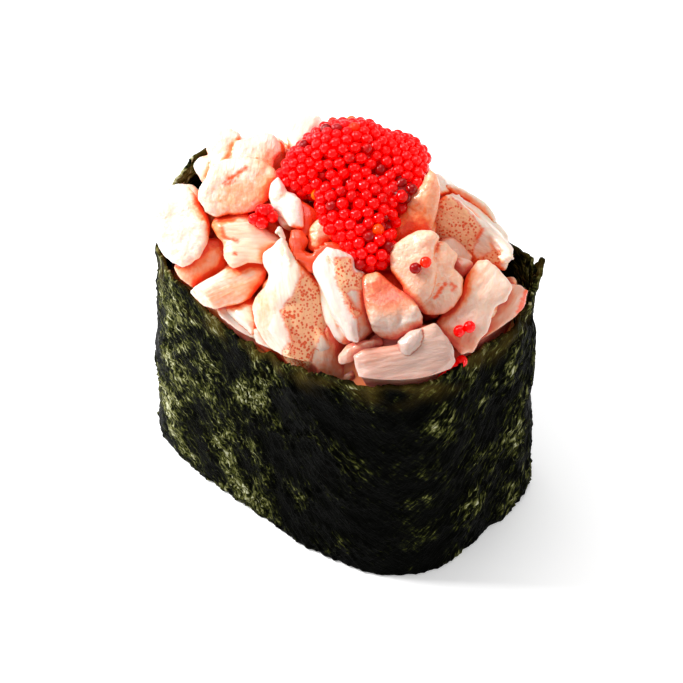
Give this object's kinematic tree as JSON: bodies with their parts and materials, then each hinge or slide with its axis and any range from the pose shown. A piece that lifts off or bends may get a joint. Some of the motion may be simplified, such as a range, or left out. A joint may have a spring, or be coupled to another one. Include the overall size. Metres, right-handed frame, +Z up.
{
  "type": "gunkan sushi",
  "caption": "Seaweed strip wrapped round a block of pressed rice, heaped with cut crab meat and topped with a spoonful of fish roe.",
  "frame": {"origin": "middle of the roll's footprint, on its underside", "axes": "+X along the roll's length, +Y across it towards the side the roe heap leans to, +Z up"},
  "size_m": [0.0512, 0.0358, 0.0539],
  "materials": {
    "seaweed": "crinkled dried seaweed, satin with small glints",
    "rice": "moist cooked grains",
    "crab_meat": "moist white flesh with pink and orange tints",
    "roe": "glossy translucent red eggs"
  },
  "bodies": {
    "root": {"crab_back_01": "crab_meat", "crab_back_02": "crab_meat", "crab_back_03": "crab_meat", "crab_back_04": "crab_meat", "crab_back_05": "crab_meat", "crab_back_06": "crab_meat", "crab_back_07": "crab_meat", "crab_back_08": "crab_meat", "crab_back_09": "crab_meat", "crab_back_10": "crab_meat", "crab_back_11": "crab_meat", "crab_back_flake": "crab_meat", "crab_bed": "crab_meat", "crab_behind_roe": "crab_meat", "crab_centre_log": "crab_meat", "crab_crown": "crab_meat", "crab_front_bits": "crab_meat", "crab_front_block": "crab_meat", "crab_front_flake": "crab_meat", "crab_left_bits": "crab_meat", "crab_left_curl": "crab_meat", "crab_left_end": "crab_meat", "crab_left_log": "crab_meat", "crab_left_under": "crab_meat", "crab_mid_left": "crab_meat", "crab_peach_bit": "crab_meat", "crab_pink_block": "crab_meat", "crab_red_bit": "crab_meat", "crab_red_skin": "crab_meat", "crab_right_block": "crab_meat", "crab_right_end": "crab_meat", "crab_right_flap": "crab_meat", "crab_right_slab": "crab_meat", "crab_right_under": "crab_meat", "crab_speckled_block": "crab_meat", "crab_speckled_foot": "crab_meat", "crab_speckled_log": "crab_meat", "crab_tall_slab": "crab_meat", "crab_white_bit": "crab_meat", "rice_block": "rice", "roe_heap": "roe", "seaweed_band": "seaweed"}
  },
  "joints": []
}
